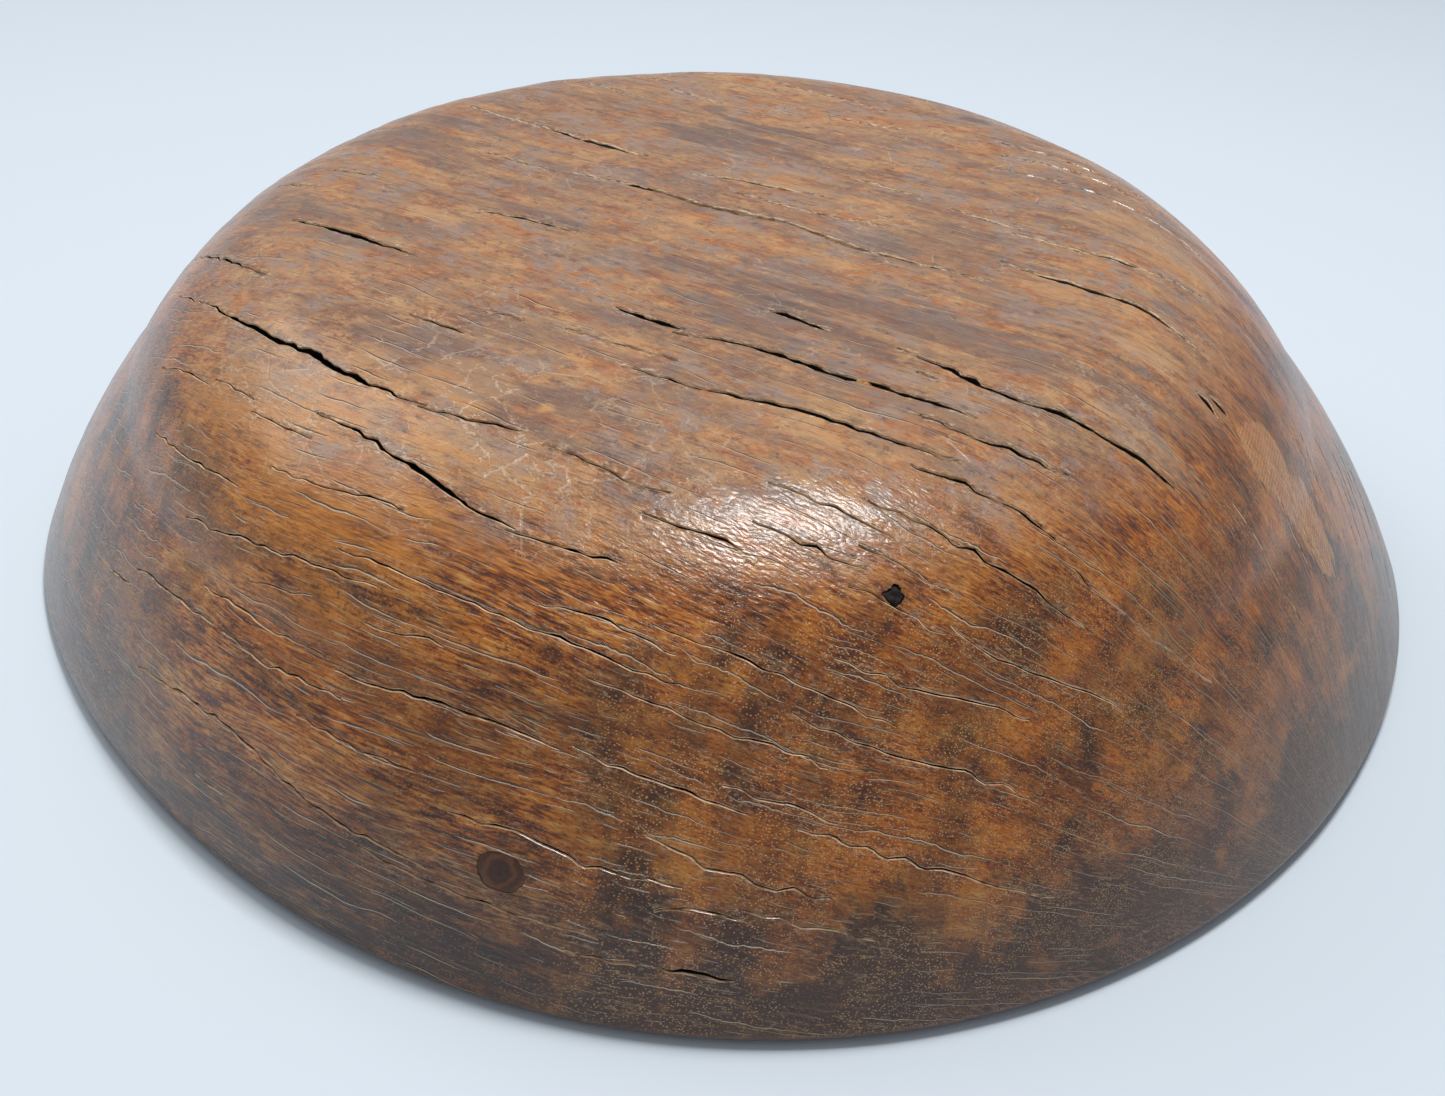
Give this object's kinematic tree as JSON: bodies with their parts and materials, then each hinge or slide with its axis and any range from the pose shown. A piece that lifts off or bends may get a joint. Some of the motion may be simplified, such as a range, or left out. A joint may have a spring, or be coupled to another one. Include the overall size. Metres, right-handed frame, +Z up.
{
  "type": "carved wooden bowl",
  "caption": "Large shallow carved bowl in solid dark hardwood for serving food, with a broad flat foot, round shoulder and plain lip, worn and cracked along the grain, resting on its rim.",
  "frame": {"origin": "middle of the rim outline, in the rim plane, with the bowl lying mouth down", "axes": "+Z up out of the foot, +X along the wood grain, which is also the long way across, +Y across the grain"},
  "size_m": [0.4082, 0.3943, 0.102],
  "materials": {
    "oiled_hardwood": "worn, oiled and hand polished, satin with glossier worn edges",
    "dead_knot": "black, dry and cracked",
    "sound_knot": "dark, dense, satin",
    "packed_grit": "dull, crumbly grit, oil and dust",
    "old_wax": "amber, waxy, slightly glossy"
  },
  "bodies": {
    "root": {"bowl_body": "oiled_hardwood", "pin_knot": "dead_knot", "wall_knot": "sound_knot", "check_packing": "packed_grit", "wax_lumps": "old_wax"}
  },
  "joints": []
}
